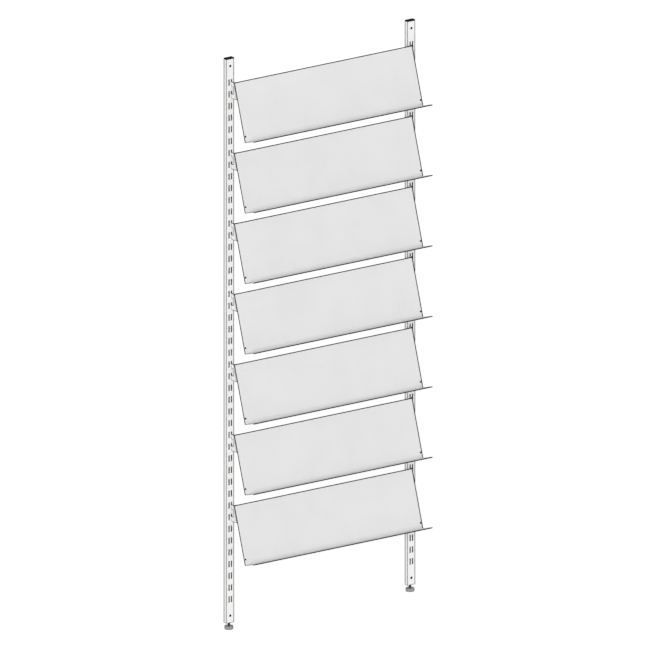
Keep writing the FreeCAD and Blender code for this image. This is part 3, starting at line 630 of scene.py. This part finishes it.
def add_weld_mark(bm, centre, outward):
    """A spot weld's print: a low ring round a shallow dish, its foot just inside the flange."""
    turn = outward.to_track_quat("Z", "Y").to_matrix()
    angles = [tau * i / WELD_CORNERS for i in range(WELD_CORNERS)]
    loops = []
    for share, lift in WELD_RINGS:
        radius = WELD_RADIUS * share
        places = [Vector((radius * cos(angle), radius * sin(angle), lift)) for angle in angles]
        loops.append([bm.verts.new(centre + turn @ place) for place in places])
    for outer_loop, inner_loop in zip(loops, loops[1:]):
        for i in range(WELD_CORNERS):
            j = (i + 1) % WELD_CORNERS
            bm.faces.new((outer_loop[i], outer_loop[j], inner_loop[j], inner_loop[i]))
    bm.faces.new(loops[-1])
    bm.faces.new(reversed(loops[0]))


def make_weld_marks(shelf):
    """Three spot-weld prints on the back of each of the shelf's two flanges."""
    low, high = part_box(f"shelf_{shelf}_panel")
    down = Vector((0, -sin(PANEL_TILT), -cos(PANEL_TILT)))
    outward = Vector((0, cos(PANEL_TILT), -sin(PANEL_TILT)))
    bm = bmesh.new()
    for side, end in zip((-1, 1), (low.x, high.x)):
        middle = end - side * FLANGE_WIDTH / 2
        top = Vector((middle, high.y, high.z - SHEET * sin(PANEL_TILT)))
        for drop in WELD_DROPS:
            add_weld_mark(bm, top + drop * down + BRACKET_PLATE * outward, outward)
    mesh = close_mesh(bm, f"shelf_{shelf}_weld_marks")
    link_piece(f"shelf_{shelf}_weld_marks", mesh, f"shelf_{shelf}", "shelf_paint")


# ================================================================ studio
def seen_directly(tree):
    """1 for what the camera, a reflection or a clear piece shows, 0 for what only gives light."""
    path = add_node(tree, "LightPath").outputs
    seen = calculate(tree, "MAXIMUM", path["Is Camera Ray"], path["Is Glossy Ray"])
    return calculate(tree, "MAXIMUM", seen, path["Is Transmission Ray"])


def make_floor():
    """A wide pale floor that reads as white and keeps the rack's shadow."""
    mesh = bpy.data.meshes.new("studio_floor")
    corners = [(x * FLOOR_HALF, y * FLOOR_HALF, 0) for x, y in ((-1, -1), (1, -1), (1, 1), (-1, 1))]
    mesh.from_pydata(corners, [], [(0, 1, 2, 3)])
    floor = new_object("studio_floor", mesh)
    material, tree, shader = start_finish("studio floor")
    shader.inputs["Base Color"].default_value = solid(FLOOR_TONE)
    shader.inputs["Roughness"].default_value = FLOOR_ROUGHNESS
    shader.inputs["Specular IOR Level"].default_value = 0.0
    glow = add_node(tree, "Emission", Color=solid(WHITE))
    feed(tree, glow.inputs["Strength"], calculate(tree, "MULTIPLY", seen_directly(tree), FLOOR_GLOW))
    both = add_node(tree, "AddShader")
    feed(tree, both.inputs[0], shader.outputs["BSDF"])
    feed(tree, both.inputs[1], glow.outputs["Emission"])
    feed(tree, tree.nodes["Material Output"].inputs["Surface"], both.outputs["Shader"])
    mesh.materials.append(material)


def make_dome():
    """An even white dome that gives soft light, and is plain white where it is seen."""
    world = bpy.data.worlds.new("studio dome")
    world.use_nodes = True
    tree = world.node_tree
    light = tree.nodes["Background"]
    light.inputs["Color"].default_value = solid(WHITE)
    light.inputs["Strength"].default_value = DOME_STRENGTH
    backdrop = add_node(tree, "Background", Color=solid(WHITE), Strength=1.0)
    both = add_node(tree, "MixShader")
    feed(tree, both.inputs[0], seen_directly(tree))
    feed(tree, both.inputs[1], light.outputs["Background"])
    feed(tree, both.inputs[2], backdrop.outputs["Background"])
    feed(tree, tree.nodes["World Output"].inputs["Surface"], both.outputs["Shader"])
    bpy.context.scene.world = world


def make_key():
    """One broad soft lamp, low at the front left."""
    lamp = bpy.data.lights.new("key", "SUN")
    lamp.energy = KEY_STRENGTH
    lamp.angle = KEY_SOFTNESS
    key = new_object("key", lamp)
    towards = Vector((sin(KEY_TURN) * cos(KEY_HEIGHT), -cos(KEY_TURN) * cos(KEY_HEIGHT), sin(KEY_HEIGHT)))
    key.rotation_euler = towards.to_track_quat("Z", "Y").to_euler()
    key.location = KEY_DISTANCE * towards


def make_camera():
    """Parallel view from the front left, a little above."""
    ahead = Vector((sin(VIEW_TURN) * cos(VIEW_TILT), cos(VIEW_TURN) * cos(VIEW_TILT), -sin(VIEW_TILT)))
    right = Vector((cos(VIEW_TURN), -sin(VIEW_TURN), 0))
    up = right.cross(ahead)
    foot = Vector((0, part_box("left_upright")[0].y, 0))
    middle = foot + VIEW_RIGHT * right + VIEW_UP * up
    data = bpy.data.cameras.new("view")
    data.type = "ORTHO"
    data.ortho_scale = VIEW_SIDE
    data.clip_end = VIEW_REACH
    camera = new_object("view", data)
    turn = Matrix((right, up, -ahead)).transposed()
    camera.matrix_world = Matrix.Translation(middle - VIEW_DISTANCE * ahead) @ turn.to_4x4()
    bpy.context.scene.camera = camera


dress_nodes()
for side in SIDES:
    make_threaded_stud(side)
for shelf in SHELVES:
    make_weld_marks(shelf)
make_floor()
make_dome()
make_key()
make_camera()
bpy.context.scene.view_settings.view_transform = "Standard"
